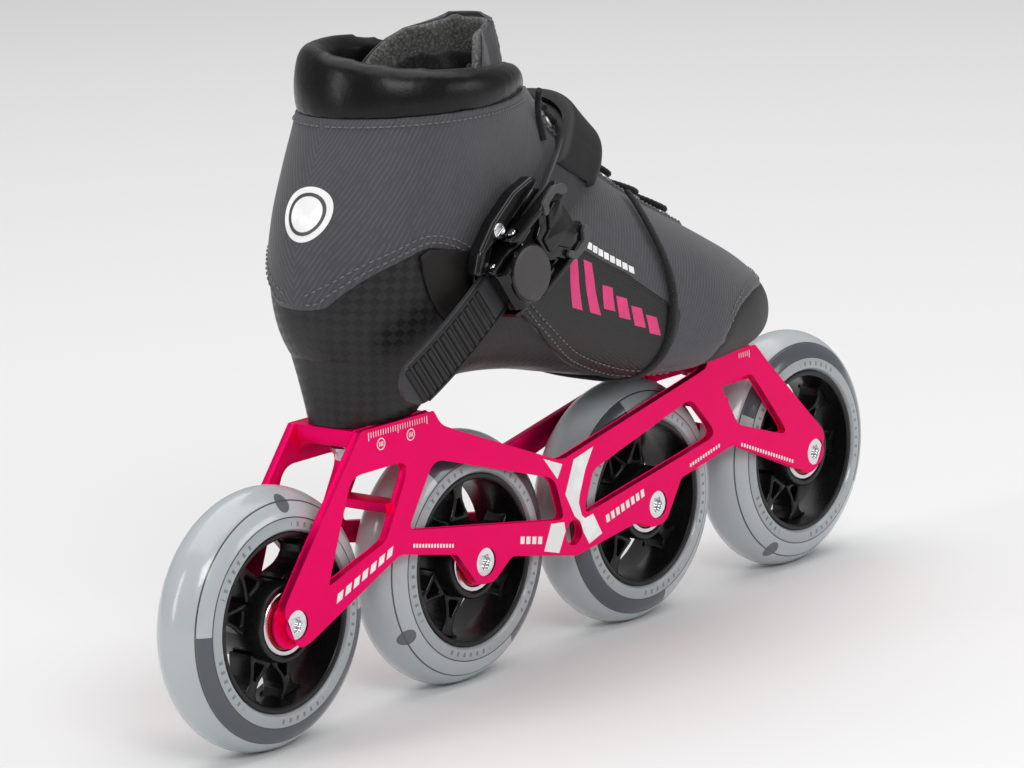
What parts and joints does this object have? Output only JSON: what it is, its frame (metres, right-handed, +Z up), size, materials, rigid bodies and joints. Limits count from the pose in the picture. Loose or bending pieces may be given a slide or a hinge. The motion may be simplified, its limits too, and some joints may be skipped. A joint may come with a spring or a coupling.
{
  "type": "inline skate",
  "caption": "Right inline speed skate: low-cut laced boot with a ratchet ankle strap on a bolted aluminium frame with in-line urethane wheels on ball bearings.",
  "frame": {"origin": "on the floor under the middle of the whole object's box", "axes": "+X along the skate towards the toe, +Y towards the skater's other foot (inner side), +Z up"},
  "size_m": [0.3816, 0.0996, 0.2335],
  "materials": {
    "anodised_frame": "bead-blasted, magenta anodised",
    "tyre_urethane": "milky pale grey cast urethane, slightly clear at its edge",
    "hub_nylon": "satin moulded nylon",
    "bearing_steel": "ground steel races with a red shield",
    "spacer_alloy": "turned",
    "axle_steel": "polished, recessed head",
    "shell_carbon": "twill carbon laminate under satin lacquer",
    "toe_rubber": "smooth matte moulding",
    "upper_microfibre": "grey microfibre with a fine ripple",
    "collar_leather": "soft padded black",
    "tongue_felt": "speckled grey felt",
    "insole_foam": "foam with a knitted cover",
    "panel_weave": "black fine-grid weave",
    "base_leather": "smooth black",
    "lace_cord": "round braided cord",
    "bolt_steel": "zinc plated",
    "insert_steel": "bare",
    "pad_rubber": "matte moulded",
    "strap_plastic": "ribbed, dark grey",
    "buckle_black": "glossy black",
    "buckle_grey": "satin grey",
    "pin_steel": "ground"
  },
  "bodies": {
    "skate": {"frame": "anodised_frame", "axle_bolt_1": "axle_steel", "axle_bolt_2": "axle_steel", "axle_bolt_3": "axle_steel", "axle_bolt_4": "axle_steel", "boot_shell": "shell_carbon", "toe_cap": "toe_rubber", "upper": "upper_microfibre", "collar": "collar_leather", "tongue": "tongue_felt", "insole": "insole_foam", "side_panel_outer": "panel_weave", "side_panel_inner": "panel_weave", "eyestay_outer": "upper_microfibre", "eyestay_inner": "upper_microfibre", "lace": "lace_cord", "lace_end": "lace_cord", "forefoot_band": "lace_cord", "mount_washer_rear": "bolt_steel", "mount_bolt_rear": "bolt_steel", "mount_insert_rear": "insert_steel", "mount_washer_front": "bolt_steel", "mount_bolt_front": "bolt_steel", "mount_insert_front": "insert_steel", "instep_pad": "pad_rubber", "ladder_strap": "strap_plastic", "buckle_base": "buckle_grey", "buckle_rivet": "pin_steel", "hinge_pin": "pin_steel", "pawl_pin": "pin_steel", "strap_screw": "bolt_steel", "strap_base": "base_leather"},
    "wheel_1": {"wheel_1_tyre": "tyre_urethane", "wheel_1_hub": "hub_nylon", "wheel_1_bearing_outer_side": "bearing_steel", "wheel_1_bearing_inner_side": "bearing_steel", "wheel_1_spacer": "spacer_alloy"},
    "wheel_2": {"wheel_2_tyre": "tyre_urethane", "wheel_2_hub": "hub_nylon", "wheel_2_bearing_outer_side": "bearing_steel", "wheel_2_bearing_inner_side": "bearing_steel", "wheel_2_spacer": "spacer_alloy"},
    "wheel_3": {"wheel_3_tyre": "tyre_urethane", "wheel_3_hub": "hub_nylon", "wheel_3_bearing_outer_side": "bearing_steel", "wheel_3_bearing_inner_side": "bearing_steel", "wheel_3_spacer": "spacer_alloy"},
    "wheel_4": {"wheel_4_tyre": "tyre_urethane", "wheel_4_hub": "hub_nylon", "wheel_4_bearing_outer_side": "bearing_steel", "wheel_4_bearing_inner_side": "bearing_steel", "wheel_4_spacer": "spacer_alloy"},
    "lever": {"buckle_lever": "buckle_black"},
    "pawl": {"release_pawl": "buckle_grey"}
  },
  "joints": [
    {"name": "wheel_1_spin", "type": "hinge", "parent": "skate", "child": "wheel_1", "pos_m": [-0.14587, 0.0032, 0.045], "axis": [0, 1, 0], "continuous": true},
    {"name": "wheel_2_spin", "type": "hinge", "parent": "skate", "child": "wheel_2", "pos_m": [-0.04854, 0.0032, 0.045], "axis": [0, 1, 0], "continuous": true},
    {"name": "wheel_3_spin", "type": "hinge", "parent": "skate", "child": "wheel_3", "pos_m": [0.04879, 0.0032, 0.045], "axis": [0, 1, 0], "continuous": true},
    {"name": "wheel_4_spin", "type": "hinge", "parent": "skate", "child": "wheel_4", "pos_m": [0.14612, 0.0032, 0.045], "axis": [0, 1, 0], "continuous": true},
    {"name": "lever_hinge", "type": "hinge", "parent": "skate", "child": "lever", "pos_m": [-0.05441, -0.04306, 0.1527], "axis": [0.5707, -0.0301, -0.8206], "range_deg": [0, 70]},
    {"name": "pawl_hinge", "type": "hinge", "parent": "skate", "child": "pawl", "pos_m": [-0.06549, -0.04185, 0.14496], "axis": [0.5707, -0.0301, -0.8206], "range_deg": [0, 12], "stiffness_Nm_per_rad": 0.02, "springref_deg": -5.73}
  ]
}
